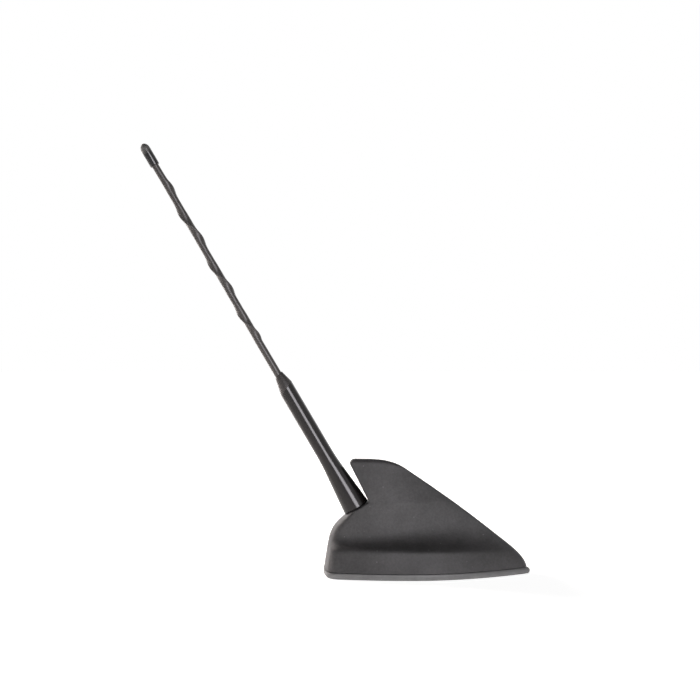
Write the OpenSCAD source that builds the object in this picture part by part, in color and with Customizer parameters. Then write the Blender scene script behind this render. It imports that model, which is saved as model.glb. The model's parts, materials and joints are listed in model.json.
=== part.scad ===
// Shark fin aerial for a car roof: a hollow moulded fin on a rubber seal, with a whip mast screwed in behind it.
// The origin is the mouth of the fixing thread, in the plane of the seal's underside.
// +X points to the nose and +Z up. The two sides of the housing mirror each other across the XZ plane.
// Sizes are in millimetres.

/* [Roof seal] */
// Height of the rubber lip between the roof and the housing
seal_h = 4.8; // [4.4:0.1:6]
// How far the lip stands out past the housing all round
seal_lip = 0.5; // [0.2:0.1:1]
// Extra length of the lip in front of the nose
seal_toe = 2; // [0:0.5:3]
// Thickness of the web that lies under the base plate
seal_web_t = 1.8; // [1.4:0.1:2.2]
// How far the web reaches in from the housing's side
seal_web_w = 13; // [11:0.5:15]

/* [Housing in plan] */
// Distance from the fixing hole back to the housing's rear wall
housing_back = 68.3; // [66:0.5:74]
// Distance from the fixing hole forward to the tip of the nose
housing_front = 66.6; // [64:0.5:74]
// Width over the foot of the skirt
housing_w = 60.6; // [58:0.5:66]
// Radius of the rear corners at the foot
rear_corner_r = 9; // [7:0.5:13]
// How far the rear wall bows out between its corners
rear_bow = 1.8; // [0.6:0.1:2.4]
// Radius of the nose at the foot
nose_r = 5; // [3.5:0.5:7]

/* [Housing in section] */
// Height of the skirt, from its foot to the crease
skirt_h = 13.8; // [12:0.5:16]
// Width over the crease
crease_w = 52; // [50:0.5:54]
// Rounding of the crease
crease_r = 1.8; // [0.6:0.1:2.4]
// How much lower the crease is at the nose than along the sides
crease_fall = 4; // [2:0.5:5]
// Height of the hollow above the crease
cove_h = 12.4; // [11:0.2:14]
// Width of the fin where the hollow ends
flank_w = 28; // [26.5:0.5:31]
// Width of the fin just under its top rim
fin_top_w = 8.4; // [7.6:0.2:11]
// Rounding of the fin's rim
rim_r = 2.5; // [1:0.1:2.8]
// Wall of the moulding
wall = 2.2; // [1.8:0.1:2.6]

/* [Fin outline] */
// Height of the housing, from its foot to the tip of the fin
fin_h = 71.2; // [68:0.5:78]
// Angle of the long front slope to the roof
fin_slope = 35.8; // [34:0.2:37]
// Height above the foot at which the slope turns down into the nose
brow_h = 22.9; // [20:0.5:25]
// Distance of that turn behind the tip of the nose
brow_setback = 22.5; // [20:0.5:26]
// Drop of the top edge from the tip to the start of the slope
top_fall = 8; // [6:0.5:10]
// Angle at which the fin's rear edge leans back
fin_rake = 27.5; // [24:0.5:29]
// Rounding of the fin's rear tip
tip_r = 2.8; // [1.5:0.1:3.4]

/* [Mast seat] */
// Angle of the mast to the vertical
mast_lean = 30.5; // [29:0.1:33]
// Distance of the seat's middle in front of the rear wall
seat_setback = 21.7; // [20:0.1:23]
// Height of the seat's middle above the housing's foot
seat_h = 38.6; // [38:0.2:41]
// Ledge left round the ferrule's foot
seat_margin = 0.5; // [0.4:0.1:1]

/* [Mast] */
// Length of the mast from the seat to its tip
mast_l = 281.2; // [240:0.2:320]
// Length of the ferrule along its axis
ferrule_l = 102.4; // [90:0.2:110]
// Diameter of the ferrule's foot
ferrule_base_d = 17.8; // [16.8:0.1:18.2]
// Diameter of the ferrule's straight part
ferrule_d = 11; // [10:0.1:12]
// Length of the ferrule's flare
flare_l = 38; // [30:0.5:44]
// Height over the seat of the point in which the ferrule's tapered end would meet
taper_apex_h = 115.3; // [112:0.1:118]
// Half angle of the tapered end
taper_angle = 13.35; // [12:0.05:14.5]
// Tilt of the taper to the mast, which makes its lower edge oblique
taper_tilt = 1.35; // [0.5:0.05:2]
// Slant of the ferrule's top face
ferrule_slant = 19; // [10:1:22]
// Diameter of the whip where it leaves the ferrule
whip_foot_d = 5.1; // [4.9:0.1:5.6]
// Diameter of the whip under the cap
whip_top_d = 4.7; // [4.3:0.1:4.9]
// Distance of the ridge's lower end from the ferrule
ridge_foot_gap = 24.8; // [12:0.2:40]
// Distance of the ridge's upper end from the tip of the mast
ridge_setback = 28; // [24:1:34]
// Height of the ridge over the whip at its upper end
ridge_top_h = 1.3; // [0.8:0.05:1.5]
// Height of the ridge over the whip at its lower end
ridge_foot_h = 0.95; // [0.6:0.05:1.3]
// Pitch of the ridge at its upper end
ridge_pitch_top = 41.2; // [34:0.2:46]
// Pitch of the ridge at its lower end
ridge_pitch_foot = 36.4; // [30:0.2:42]
// Length of the tip cap
cap_l = 16.7; // [14:0.1:20]
// Diameter of the tip cap
cap_d = 6.4; // [6:0.1:7.4]
// Diameter of the glass fibre rod
core_d = 2.6; // [2.4:0.1:2.8]
// Diameter of the wire wound on the rod
wire_d = 0.45; // [0.35:0.05:0.5]
// Number of turns of the wire
wire_turns = 14; // [8:1:18]

/* [Mast thread] */
// Diameter of the mast's thread in its socket
thread_d = 5; // [4:0.5:6]
// Length of thread that the stud holds in
thread_l = 8; // [7:0.5:9]
// Diameter of the brass socket
socket_d = 8; // [7.6:0.1:8.8]
// Length of the brass socket
socket_l = 13; // [12:0.2:13.6]
// Thickness of the washer between ferrule and seat
washer_t = 1.2; // [0.8:0.1:2]
// Gap left between the ferrule's rim and the seat
rim_gap = 0.45; // [0.3:0.05:0.7]

/* [Base plate] */
// Thickness of the cast plate
plate_t = 2.6; // [2.2:0.1:3]
// Gap between the plate and the housing's wall
plate_gap = 0.8; // [0.7:0.05:1.2]
// Core diameter of the fixing thread
fixing_d = 5; // [4.2:0.1:6]
// Outer diameter of the fixing bush
fixing_bush_d = 9; // [8:0.2:10]
// Height of the fixing bush
fixing_bush_h = 7; // [6:0.2:7.4]
// Distance of the lead's outlet in front of the fixing hole
outlet_x = 18; // [17.5:0.5:22]
// Diameter of the lead's outlet
outlet_d = 4; // [3:0.2:5]
// Diameter of the housing screws
cover_screw_d = 2.8; // [2.4:0.1:3]

/* [Electronics] */
// Height of the board over the base plate
board_lift = 3.6; // [3.4:0.1:5]
// Thickness of the board
board_t = 1.6; // [1:0.2:2]
// Length of the board
board_l = 70; // [68:0.5:71]
// Width of the board
board_w = 36; // [34:0.5:37]
// Distance of the board's front edge in front of the fixing hole
board_front = 20; // [18:0.5:21]
// Side of the ceramic satellite antenna
patch_w = 25; // [20:0.5:26]
// Thickness of the ceramic satellite antenna
patch_t = 4; // [3:0.5:5]
// Length of the shield can
can_l = 18; // [14:0.5:18.5]
// Width of the shield can
can_w = 30; // [20:1:32]
// Height of the shield can
can_h = 3.2; // [2.5:0.1:5]

/* [Hidden] */

// Clearances
fit_gap = 0.03;
thread_gap = 0.08;
seat_gap = 0.1;
cut = 1;

// Heights of the housing's levels over the roof
rim_z = seal_h;
crease_z = rim_z + skirt_h;
cove_z = crease_z + cove_h;
fin_z = rim_z + fin_h;
shoulder_z = fin_z - top_fall;
seat_z = rim_z + seat_h;
plate_z = seal_web_t + plate_t;
board_z = plate_z + board_lift;
board_top_z = board_z + board_t;

// The spiral ridge fills the whip between its two free ends
ridge_l = mast_l - ridge_setback - ferrule_l - ridge_foot_gap;

// Corners of the side outline, as [x, z]
seat_x = seat_setback - housing_back;
seat_half = ferrule_base_d / 2 + seat_margin;
seat_low = mast_point(0, -seat_half);
notch = mast_point(0, seat_half);
brow = [housing_front - brow_setback, rim_z + brow_h];
shoulder_x = brow[0] - (shoulder_z - brow[1]) / tan(fin_slope);
slope_bow = 1.3;
rear_lean = 2.2;
bulb_angles = [11, 55];
nose_angle = 11;

// Shape of the level sections at the foot, the end of the hollow, the seat and the top
widest_share = [[rim_z, 0.43], [crease_z, 0.43], [cove_z, 0.26], [fin_z, 0.26]];
rear_share = [[rim_z, 0.76], [crease_z, 0.76], [cove_z, 0.86], [seat_low[1], 0.93], [seat_z, 0.96], [fin_z, 0.93]];
taper_power = [[rim_z, 1.85], [crease_z, 1.85], [cove_z, 1.55], [fin_z, 1.55]];
corner_r = [[rim_z, rear_corner_r], [crease_z, rear_corner_r - 1], [cove_z, 5], [seat_low[1], 4],
            [seat_z - 1, 1.4], [notch[1], 1.2], [notch[1] + 2, 1.6], [fin_z, 1.6]];
bow_share = [[seat_low[1] - 1.5, 1], [seat_low[1], 0.65], [seat_low[1] + 2.5, 0], [notch[1], 0], [fin_z, 0.2]];
front_r = [[rim_z, nose_r], [crease_z, nose_r - 1], [cove_z, 2.4], [fin_z, 2.2]];

// Numbers of steps round one side of a section
rear_steps = 3;
corner_steps = 5;
flank_steps = 13;
nose_steps = 4;

// The hollow above the crease climbs at this angle over the first share of its depth, then curves up to the flank
cove_angle = 24;
shelf_share = 0.5;
flank_bow = 0.5;
fall_power = 3.6;

// Plastic left round the mast socket
boss_floor = 3;
boss_wall = 3;
cavity_headroom = 14;

// Bosses for the housing screws, as [x, y, height of the top]
boss_r = 3;
boss_top_z = crease_z - 0.7 * wall;
boss_inset = 8.4;
corner_inset = 12.3;
waist_x = -2;
corner_boss = [corner_inset - housing_back, housing_w / 2 - corner_inset];
waist_boss = [waist_x, housing_w / 2 - boss_inset];
nose_boss_x = brow[0] - 6.1;
cover_bosses = [[corner_boss[0], -corner_boss[1], boss_top_z], [corner_boss[0], corner_boss[1], boss_top_z],
                [waist_boss[0], -waist_boss[1], boss_top_z], [waist_boss[0], waist_boss[1], boss_top_z],
                [nose_boss_x, 0, brow[1] - 0.7]];
screw_grip = 6.5;

function lerp(a, b, t) = a + (b - a) * t;
function bezier(a, b, c, t) = a * pow(1 - t, 2) + b * 2 * t * (1 - t) + c * t * t;
function hermite(a, b, a_slope, b_slope, t) =
    a * (2 * pow(t, 3) - 3 * t * t + 1) + a_slope * (pow(t, 3) - 2 * t * t + t)
    + b * (3 * t * t - 2 * pow(t, 3)) + b_slope * (pow(t, 3) - t * t);

// Point at a height over the seat and a distance in front of the mast's axis, as [x, z]
function mast_point(along, across) = [
    seat_x - along * sin(mast_lean) + across * cos(mast_lean),
    seat_z + along * cos(mast_lean) + across * sin(mast_lean)];

// Front outline of the housing: a bowed slope that turns down into the nose
function slope_x(t) = lerp(brow[0], shoulder_x, t) + slope_bow * 4 * t * (1 - t);
function slope_start() = 1 / tan(fin_slope) - 4 * slope_bow / (shoulder_z - brow[1]);
function front_x(z) = z > brow[1]
    ? slope_x((z - brow[1]) / (shoulder_z - brow[1]))
    : hermite(brow[0], housing_front, slope_start() * brow_h, tan(nose_angle) * brow_h, (brow[1] - z) / brow_h);

// Rear outline: the skirt's wall, the bulb under the seat, the seat and the fin's rear edge
function bulb_x(z) = let (rise = seat_low[1] - crease_z) hermite(
    rear_lean - housing_back, seat_low[0], tan(bulb_angles[0]) * rise, tan(bulb_angles[1]) * rise,
    (z - crease_z) / rise);
function rear_x(z) =
    z < crease_z ? lerp(-housing_back, rear_lean - housing_back, (z - rim_z) / skirt_h)
    : z < seat_low[1] ? bulb_x(z)
    : z < notch[1] ? lerp(seat_low[0], notch[0], (z - seat_low[1]) / (notch[1] - seat_low[1]))
    : notch[0] - (z - notch[1]) * tan(fin_rake);

// How far the front end of a level is lower than its rear end
function fall(z) =
    z < crease_z ? crease_fall * (z - rim_z) / skirt_h
    : z < cove_z ? crease_fall * (cove_z - z) / cove_h
    : z < notch[1] ? 0
    : top_fall * pow((z - notch[1]) / (fin_z - notch[1]), 2);

// Half width of a section at x: it swells to its widest place and tapers to the nose
function half_width(x, w, rear, widest, end, share, power) = x < widest
    ? w * (1 - (1 - share) * pow((widest - x) / (widest - rear), 2))
    : w * (1 - pow((x - widest) / (end - widest), power));

// One side of a level section, as [x, half width] from the rear middle to the front middle. Its plan shape runs from
// start to front, and where the cavity begins further forward, the rear end cuts it off
function section(z, w, rear, front, start) = let (
    widest = lerp(start, front, lookup(z, widest_share)),
    share = lookup(z, rear_share),
    power = lookup(z, taper_power),
    round_r = min(lookup(z, front_r), 0.6 * w),
    point_angle = atan(w * power / (front - widest)),
    end = front - round_r + round_r / sin(point_angle),
    flank_end = front - round_r + round_r * sin(point_angle),
    miss = half_width(flank_end, w, start, widest, end, share, power) - round_r * cos(point_angle),
    turn_r = min(lookup(z, corner_r), 0.6 * w),
    bow = rear_bow * lookup(z, bow_share),
    turn_start = atan(2 * bow / (w - 0.7 * turn_r)),
    flank_start = rear + bow + turn_r * cos(turn_start),
    corner_y = half_width(flank_start, w, start, widest, end, share, power) - turn_r,
    wall_end = corner_y + turn_r * sin(turn_start)
) concat(
    [for (i = [0 : rear_steps - 1]) let (u = i / rear_steps) [rear + bow * u * u, wall_end * u]],
    [for (i = [0 : corner_steps - 1]) let (a = lerp(turn_start, 90, i / corner_steps))
        [flank_start - turn_r * cos(a), corner_y + turn_r * sin(a)]],
    [for (i = [0 : flank_steps - 1]) let (t = i / flank_steps, x = lerp(flank_start, flank_end, t))
        [x, half_width(x, w, start, widest, end, share, power) - miss * pow(t, 4)]],
    [for (i = [0 : nose_steps]) let (a = (90 - point_angle) * (1 - i / nose_steps))
        [front - round_r * (1 - cos(a)), round_r * sin(a)]]);

// The two sides of a section joined into one ring
function ring(side) = concat(
    [for (p = side) [p[0], -p[1]]],
    [for (i = [len(side) - 2 : -1 : 1]) side[i]]);

// A ring raised to its level, with the front end lowered by the fall
function level_ring(z, w, rear, front, start, drop) = [
    for (p = ring(section(z, w, rear, front, start)))
        [p[0], p[1], z - drop * pow(max(0, (p[0] - start) / (front - start)), fall_power)]];

// A ring of the foot's outline, moved in by an inset
function foot_outline(side_inset, front) = let (rear = side_inset - housing_back)
    ring(section(rim_z, housing_w / 2 - side_inset, rear, front, rear));
function foot_ring(inset, z, toe = 0) = [
    for (p = foot_outline(inset, housing_front + toe - inset)) [p[0], p[1], z]];

// Half section of the skin at an inset from the outside, as [half width, height]
function crease_corner(t) = [crease_w / 2 - t, crease_z - t];
function cove_end(t) = [flank_w / 2 - t, cove_z];
function cove_corner(t) = let (
    w = lerp(crease_w, flank_w, 0.97) / 2)
    [w - t, crease_z - t + (crease_w / 2 - w) * tan(cove_angle)];
function skirt_side(t, n) = let (foot = [housing_w / 2 - t, rim_z], top = crease_corner(t))
    [for (i = [0 : n - 1]) lerp(foot, top, i / n * (1 - crease_r / skirt_h))];
function crease_side(t) = let (
    foot = [housing_w / 2 - t, rim_z],
    corner = crease_corner(t),
    low = lerp(foot, corner, 1 - crease_r / skirt_h),
    high = lerp(corner, cove_corner(t), crease_r / (crease_w - flank_w) * 2))
    [for (u = [0 : 0.25 : 0.75]) bezier(low, corner, high, u)];
function cove_side(t, n) = let (
    start = lerp(crease_corner(t), cove_corner(t), crease_r / (crease_w - flank_w) * 2),
    bend = lerp(crease_corner(t), cove_corner(t), shelf_share))
    concat([start, lerp(start, bend, 0.5)],
           [for (i = [0 : n - 1]) bezier(bend, cove_corner(t), cove_end(t), i / n)]);
function flank_half(z, t) = let (u = (z - cove_z) / (fin_z - cove_z))
    lerp(flank_w, fin_top_w, u) / 2 + flank_bow * 4 * u * (1 - u) - t;
function flank_side(t, heights) = [for (z = heights) [flank_half(z, t), z]];

// The fin's rear tip is an arc that meets both the top and the raked rear edge
tip_depth = tip_r * (1 + sin(fin_rake));
tip_centre_x = rear_x(fin_z - tip_depth) + tip_r * cos(fin_rake);
function tip_x(depth) = tip_centre_x - sqrt(max(0, tip_r * tip_r - pow(tip_r - depth, 2)));

// Levels of the outside above the hollow: the bulb, the seat, the notch and the fin
outer_heights = concat(
    [for (i = [0 : 2]) lerp(cove_z, seat_low[1], i / 3)],
    [for (i = [0 : 6]) lerp(seat_low[1], notch[1], i / 7)],
    [for (i = [0 : 6]) lerp(notch[1], fin_z - tip_depth, i / 7)]);

// Rim levels, each by its depth under the top, where the sides turn in by a quarter round
function quarter(r, depth) = depth < r ? r - sqrt(r * r - pow(r - depth, 2)) : 0;
rim_steps = 6;
rim_depths = [for (i = [0 : rim_steps]) tip_r * (1 - sin(lerp(-fin_rake, 90, i / rim_steps)))];

outer_rings = concat(
    [for (p = concat(skirt_side(0, 5), crease_side(0), cove_side(0, 6), flank_side(0, outer_heights)))
        level_ring(p[1], p[0], rear_x(p[1]), front_x(p[1] - fall(p[1])), rear_x(p[1]), fall(p[1]))],
    [for (d = rim_depths) let (z = fin_z - d)
        level_ring(z, flank_half(z, quarter(rim_r, d)), tip_x(d), front_x(z - fall(z)), tip_x(d), fall(z))]);

// Rear side of the cavity: the rear wall, a ceiling under the socket's boss, the boss and the fin's rear wall
ceiling_low = mast_point(-socket_l - boss_floor, -socket_d / 2);
ceiling_high = mast_point(-socket_l - boss_floor, socket_d / 2 + boss_wall);
cavity_z = fin_z - cavity_headroom;
cavity_rear = [
    [rim_z, rear_x(rim_z) + wall],
    [crease_z + 3, rear_x(crease_z + 3) + wall],
    [ceiling_low[1], ceiling_low[0]],
    [ceiling_high[1], ceiling_high[0]],
    [notch[1], notch[0] + wall / cos(fin_rake)],
    [cavity_z, rear_x(cavity_z) + wall / cos(fin_rake)]];
cavity_heights = [cove_z, ceiling_high[1], lerp(ceiling_high[1], notch[1], 0.5), notch[1],
                  lerp(notch[1], cavity_z, 0.5), cavity_z];
function cavity_front_x(z) = front_x(z) - wall / sin(fin_slope);

inner_rings = [for (p = concat(skirt_side(wall, 2), crease_side(wall), cove_side(wall, 4),
                               flank_side(wall, cavity_heights)))
    level_ring(p[1], p[0], lookup(p[1], cavity_rear), cavity_front_x(p[1] - fall(p[1])), rear_x(p[1]) + wall,
               fall(p[1]))];

function reversed(list) = [for (i = [len(list) - 1 : -1 : 0]) list[i]];

// Triangles of the end at ring index 0: a fan over the stretch at the start, then strips across
function end_strips(n, flat) = concat(
    [for (k = [-flat : flat - 1]) [(n + k) % n, (n + k + 1) % n, flat + 1]],
    [[(n - flat) % n, flat + 1, n - flat - 1]],
    [for (i = [flat + 1 : n / 2 - 1]) let (near = [i, i + 1], far = [n - i, n - i - 1])
        each i < n / 2 - 1 ? [[far[0], near[0], near[1]], [far[0], near[1], far[1]]]
            : [[far[0], near[0], near[1]]]]);

// Solid skinned over rings with the same number of points, with flat ends unless it closes on itself
module skin(rings, closed = false, flat = 0) {
    n = len(rings[0]);
    m = len(rings);
    bands = closed ? m : m - 1;
    last = (m - 1) * n;
    sides = [for (j = [0 : bands - 1]) for (i = [0 : n - 1]) let (
        a = j * n + i,
        b = j * n + (i + 1) % n,
        c = (j + 1) % m * n + (i + 1) % n,
        d = (j + 1) % m * n + i)
        each i < n / 2 ? [[c, b, a], [d, c, a]] : [[d, b, a], [d, c, b]]];
    first_end = closed ? [] : end_strips(n, flat);
    last_end = [for (f = first_end) [last + f[2], last + f[1], last + f[0]]];
    polyhedron(points = [for (r = rings) each r], faces = concat(sides, first_end, last_end), convexity = 10);
}

// Places its children on the mast: +Z along it from the seat, +X towards the front
module on_mast() {
    translate([seat_x, 0, seat_z]) rotate([0, -mast_lean, 0]) children();
}

module fin_housing() {
    color([0.20, 0.20, 0.21]) difference() {
        union() {
            skin(concat(reversed(inner_rings), outer_rings), flat = rear_steps);
            for (b = cover_bosses) translate([b[0], b[1], plate_z]) cylinder(r = boss_r, h = b[2] - plate_z, $fn = 32);
        }
        on_mast() translate([0, 0, -socket_l]) cylinder(d = socket_d + 2 * fit_gap, h = socket_l + cut, $fn = 48);
        on_mast() translate([0, 0, -socket_l - boss_floor - cut])
            cylinder(d = tail_d + 2 * fit_gap, h = boss_floor + 2 * cut, $fn = 32);
        for (b = cover_bosses) translate([b[0], b[1], plate_z - cut])
            cylinder(d = cover_screw_d + 2 * fit_gap, h = screw_grip + 2 * cut, $fn = 24);
    }
}

// Rubber lip all round: rounded below, thinned out to the toe above, with a groove under the housing's foot
// and a thin web on which the base plate lies
groove_h = 0.5;
groove_depth = 1.4;
module roof_seal() {
    plate_inset = wall + plate_gap;
    color([0.30, 0.30, 0.31]) skin([
        foot_ring(seal_web_w, 0),
        foot_ring(1.8 - seal_lip, 0, seal_toe),
        foot_ring(1 - seal_lip, 0.25, seal_toe),
        foot_ring(0.4 - seal_lip, 0.8, seal_toe),
        foot_ring(0.1 - seal_lip, 1.7, seal_toe),
        foot_ring(-seal_lip, seal_h * 0.6, 0.85 * seal_toe),
        foot_ring(0.1 - seal_lip, seal_h * 0.8, 0.4 * seal_toe),
        foot_ring(0.4 - seal_lip, seal_h - groove_h - 0.05, 0.1 * seal_toe),
        foot_ring(groove_depth, seal_h - groove_h),
        foot_ring(groove_depth + 0.1, seal_h),
        foot_ring(plate_inset - fit_gap - 0.2, seal_h),
        foot_ring(plate_inset - fit_gap - 0.2, seal_web_t),
        foot_ring(seal_web_w, seal_web_t)], closed = true);
}

// Cast plate with a raised edge, two ribs, standoffs for the board and a hub for the fixing bush
hub_r = fixing_bush_d / 2 + 5;
rib_w = 1.5;
rib_h = 1.6;
edge_w = 1.2;
edge_h = 1.2;
standoff_r = 2.6;
board_screw_d = 2;
board_screw_inset = 2.8;
grommet_neck_d = outlet_d + 5;
grommet_lip = 1.6;
function plate_outline(inset) =
    foot_outline(wall + plate_gap + inset, cavity_front_x(rim_z) - plate_gap - inset);
board_screw_places = [for (x = [board_front - board_l + board_screw_inset, board_front - board_screw_inset])
    for (side = [-1, 1]) [x, side * (board_w / 2 - board_screw_inset)]];

module base_plate() {
    rib_ends = [board_front - board_l, nose_boss_x];
    color([0.62, 0.62, 0.60]) difference() {
        union() {
            translate([0, 0, seal_web_t]) linear_extrude(plate_t) polygon(plate_outline(0));
            translate([0, 0, plate_z]) linear_extrude(edge_h) difference() {
                polygon(plate_outline(0));
                polygon(plate_outline(edge_w));
            }
            cylinder(r = hub_r, h = plate_z, $fn = 64);
            for (y = [-hub_r, hub_r]) translate([rib_ends[0], y - rib_w / 2, plate_z - fit_gap])
                cube([rib_ends[1] - rib_ends[0], rib_w, rib_h]);
            for (p = board_screw_places) translate([p[0], p[1], plate_z - fit_gap])
                cylinder(r = standoff_r, h = board_lift + fit_gap, $fn = 32);
        }
        translate([0, 0, -cut]) cylinder(d = fixing_bush_d + 2 * fit_gap, h = plate_z + 2 * cut, $fn = 48);
        translate([outlet_x, 0, -cut]) cylinder(d = grommet_neck_d + 2 * fit_gap, h = plate_z + 2 * cut, $fn = 48);
        for (b = cover_bosses) translate([b[0], b[1], 0]) {
            translate([0, 0, -cut]) cylinder(d = cover_screw_d + 0.4, h = plate_z + 2 * cut, $fn = 24);
            translate([0, 0, seal_web_t - cut]) cylinder(r = cover_head_r + 0.2, h = cover_head_h + cut, $fn = 32);
        }
        for (p = board_screw_places) translate([p[0], p[1], plate_z])
            cylinder(d = board_screw_d + 2 * fit_gap, h = board_lift + cut, $fn = 24);
    }
}

module fixing_bush() {
    flange_t = 1.2;
    color([0.72, 0.58, 0.30]) difference() {
        union() {
            cylinder(d = fixing_bush_d, h = fixing_bush_h, $fn = 48);
            translate([0, 0, plate_z]) cylinder(d = fixing_bush_d + 3, h = flange_t, $fn = 6);
        }
        translate([0, 0, -cut]) cylinder(d = fixing_d, h = fixing_bush_h - 1 + cut, $fn = 48);
    }
}

module cable_grommet() {
    color([0.10, 0.10, 0.10]) translate([outlet_x, 0, 0]) difference() {
        union() {
            translate([0, 0, seal_web_t]) cylinder(d = grommet_neck_d, h = plate_t, $fn = 48);
            translate([0, 0, seal_web_t - grommet_lip + 0.2])
                cylinder(d1 = grommet_neck_d + 1, d2 = grommet_neck_d + 2 * grommet_lip, h = grommet_lip - 0.2, $fn = 48);
            translate([0, 0, plate_z])
                cylinder(d1 = grommet_neck_d + 2 * grommet_lip, d2 = grommet_neck_d + 1, h = grommet_lip, $fn = 48);
        }
        cylinder(d = outlet_d, h = plate_z + grommet_lip + cut, $fn = 48);
    }
}

// Pan head screw with a cross recess, its tip up and its head's top at the origin
cover_head_r = 2.7;
cover_head_h = 1.5;
module cover_screw() {
    difference() {
        union() {
            cylinder(r1 = cover_head_r - 0.5, r2 = cover_head_r, h = cover_head_h, $fn = 32);
            cylinder(d = cover_screw_d, h = plate_t + screw_grip, $fn = 24);
        }
        for (a = [0, 90]) rotate(a) translate([-1.4, -0.25, -cut]) cube([2.8, 0.5, cut + 0.8]);
    }
}

module housing_screws() {
    color([0.75, 0.75, 0.77]) for (b = cover_bosses) translate([b[0], b[1], seal_web_t]) cover_screw();
}

module circuit_board() {
    back = board_front - board_l;
    c = 1.5;
    half = board_w / 2;
    color([0.08, 0.35, 0.20]) difference() {
        translate([0, 0, board_z]) linear_extrude(board_t) polygon([
            [back + c, -half], [board_front - c, -half], [board_front, c - half], [board_front, half - c],
            [board_front - c, half], [back + c, half], [back, half - c], [back, c - half]]);
        for (p = board_screw_places) translate([p[0], p[1], board_z - cut])
            cylinder(d = board_screw_d + 0.6, h = board_t + 2 * cut, $fn = 24);
    }
}

module board_screws() {
    head_h = 1.3;
    grip = 2.6;
    color([0.75, 0.75, 0.77]) for (p = board_screw_places) translate([p[0], p[1], board_top_z]) difference() {
        union() {
            cylinder(r1 = 2.2, r2 = 1.7, h = head_h, $fn = 24);
            translate([0, 0, -board_t - grip]) cylinder(d = board_screw_d, h = board_t + grip + fit_gap, $fn = 24);
        }
        for (a = [0, 90]) rotate(a) translate([-1.1, -0.2, head_h - 0.6]) cube([2.2, 0.4, 1]);
    }
}

// Places on the board, from its front edge backwards: satellite antenna, foot of the upright antenna, can, contact
patch_x = board_front - 1;
foot_x = patch_x - patch_w - 1;
foot_l = 5;
can_x = foot_x - foot_l - 1;
contact_x = can_x - can_l - 5;

module shield_can() {
    sheet = 0.3;
    color([0.78, 0.78, 0.76]) translate([can_x - can_l, -can_w / 2, board_top_z]) difference() {
        cube([can_l, can_w, can_h]);
        translate([sheet, sheet, -cut]) cube([can_l - 2 * sheet, can_w - 2 * sheet, can_h - sheet + cut]);
    }
}

module patch_antenna() {
    edge = 2.5;
    foil = 0.1;
    color([0.80, 0.76, 0.66]) translate([patch_x - patch_w, -patch_w / 2, board_top_z]) union() {
        cube([patch_w, patch_w, patch_t]);
        translate([edge, edge, patch_t - fit_gap]) cube([patch_w - 2 * edge, patch_w - 2 * edge, foil + fit_gap]);
        translate([patch_w / 2, patch_w / 2 - 2, patch_t]) cylinder(d = 1.6, h = 0.5, $fn = 24);
    }
}

// Upright antenna plate that stands on the board and fills the fin's hollow
module phone_antenna() {
    t = 1;
    clear = 3;
    low_z = cove_z - 2;
    top_z = cavity_z - clear;
    outline = [
        [foot_x - foot_l, board_top_z], [foot_x, board_top_z], [foot_x, low_z - 8],
        [cavity_front_x(low_z) - 3 * clear, low_z],
        [cavity_front_x(top_z - fall(top_z)) - 2 * clear, top_z],
        [lookup(top_z, cavity_rear) + clear, top_z],
        [lookup(notch[1], cavity_rear) + clear, notch[1]],
        [ceiling_high[0] + clear, ceiling_high[1]],
        [foot_x - foot_l, low_z - 8]];
    color([0.10, 0.30, 0.45]) translate([0, t / 2, 0]) rotate([90, 0, 0]) linear_extrude(t) polygon(outline);
}

// Sprung strip from the board up to the socket's tail, as a bent line with an even thickness
function strip_side(line, h) = [for (i = [0 : len(line) - 1]) let (
    a = line[max(i - 1, 0)],
    b = line[min(i + 1, len(line) - 1)],
    d = (b - a) / norm(b - a))
    line[i] + h * [-d[1], d[0]]];

tail_d = 3.6;
tail_l = 5;
module contact_spring() {
    t = 0.4;
    strip_w = 4;
    touch = -socket_l - tail_l - seat_gap - t / 2;
    line = [
        [contact_x - 8, board_top_z + t / 2], [contact_x, board_top_z + t / 2], [contact_x + 1, board_top_z + 1],
        lerp([contact_x + 1, board_top_z + 1], mast_point(touch - 2, 5), 0.5) + [1, 0],
        mast_point(touch - 2, 5), mast_point(touch - 0.6, 3.6), mast_point(touch, 2.2),
        mast_point(touch, -2)];
    color([0.80, 0.62, 0.35]) translate([0, strip_w / 2, 0]) rotate([90, 0, 0]) linear_extrude(strip_w)
        polygon(concat(strip_side(line, t / 2), reversed(strip_side(line, -t / 2))));
}

module mast_socket() {
    color([0.72, 0.58, 0.30]) on_mast() difference() {
        union() {
            translate([0, 0, -socket_l]) cylinder(d = socket_d, h = socket_l, $fn = 48);
            translate([0, 0, -socket_l - tail_l]) cylinder(d = tail_d, h = tail_l + cut, $fn = 32);
        }
        translate([0, 0, -thread_l - cut]) cylinder(d = thread_d, h = thread_l + 2 * cut, $fn = 48);
    }
}

washer_d = ferrule_base_d - 4;
module mast_washer() {
    color([0.08, 0.08, 0.08]) on_mast() translate([0, 0, seat_gap]) difference() {
        cylinder(d = washer_d, h = washer_t, $fn = 64);
        translate([0, 0, -cut]) cylinder(d = thread_d + 0.3, h = washer_t + 2 * cut, $fn = 48);
    }
}

ferrule_foot = washer_t + 2 * seat_gap;
stud_head_d = thread_d + 1.4;
stud_head_l = 11;
module mast_stud() {
    color([0.75, 0.75, 0.77]) on_mast() union() {
        translate([0, 0, -thread_l]) cylinder(d = thread_d - 2 * thread_gap, h = thread_l + ferrule_foot + cut, $fn = 48);
        translate([0, 0, -thread_l - 0.6])
            cylinder(d1 = thread_d - 1.6, d2 = thread_d - 2 * thread_gap, h = 0.6, $fn = 48);
        translate([0, 0, ferrule_foot]) cylinder(d = stud_head_d, h = stud_head_l, $fn = 48);
    }
}

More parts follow.
